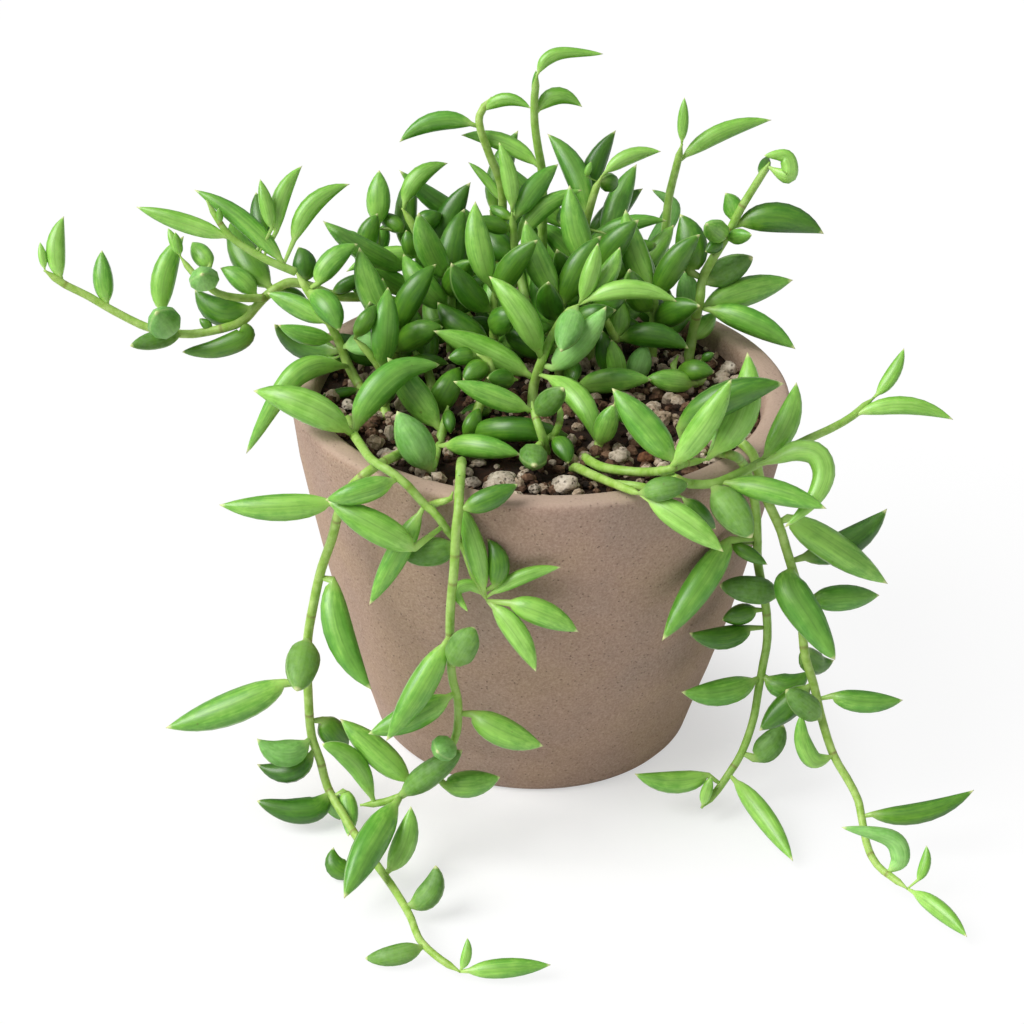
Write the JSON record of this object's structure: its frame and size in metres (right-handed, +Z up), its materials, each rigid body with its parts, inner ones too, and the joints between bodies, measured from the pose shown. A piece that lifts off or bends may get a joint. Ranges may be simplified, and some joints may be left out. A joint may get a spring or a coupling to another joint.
{
  "type": "potted trailing succulent",
  "caption": "Trailing succulent with banana-shaped leaves on long stems, growing in a small tapered plant pot.",
  "frame": {"origin": "centre of the pot's flat base, on the surface that it stands on", "axes": "+Z up along the pot's axis, -Y towards the front, where most of the stems hang down, +X to the plant's right as seen from the front"},
  "size_m": [0.2367, 0.1884, 0.1662],
  "materials": {
    "pot": "matte",
    "soil": "matte",
    "pumice": "matte",
    "bark": "matte",
    "foliage": "satin"
  },
  "bodies": {
    "root": {"bark_right": "bark", "pot": "pot", "potting_soil": "soil", "pumice_bright": "pumice", "pumice_front": "pumice", "pumice_front_left": "pumice", "pumice_inner": "pumice", "pumice_left": "pumice", "pumice_low_left": "pumice", "pumice_rear_right": "pumice", "pumice_right": "pumice", "pumice_small": "pumice", "shoot_back_centre": "foliage", "shoot_back_left": "foliage", "shoot_back_right": "foliage", "shoot_centre_back": "foliage", "shoot_centre_front": "foliage", "shoot_far_left": "foliage", "shoot_far_side_1": "foliage", "shoot_far_side_2": "foliage", "shoot_far_side_3": "foliage", "shoot_front": "foliage", "shoot_front_right": "foliage", "shoot_inner_back": "foliage", "shoot_inner_front": "foliage", "shoot_inner_left": "foliage", "shoot_inner_right": "foliage", "shoot_left": "foliage", "shoot_low_left": "foliage", "shoot_middle_1": "foliage", "shoot_middle_2": "foliage", "shoot_middle_3": "foliage", "shoot_middle_4": "foliage", "shoot_middle_5": "foliage", "shoot_middle_6": "foliage", "shoot_rear_right": "foliage", "shoot_right": "foliage", "shoot_right_low": "foliage", "shoot_second": "foliage", "shoot_tall_right": "foliage", "shoot_tallest": "foliage", "vine_far_side_1": "foliage", "vine_far_side_2": "foliage", "vine_front_left": "foliage", "vine_front_right": "foliage", "vine_left_arm": "foliage", "vine_left_shoot": "foliage", "vine_long_left": "foliage", "vine_long_right": "foliage", "vine_middle": "foliage", "vine_right_arm": "foliage", "vine_right_rim": "foliage", "vine_right_wall": "foliage"}
  },
  "joints": []
}
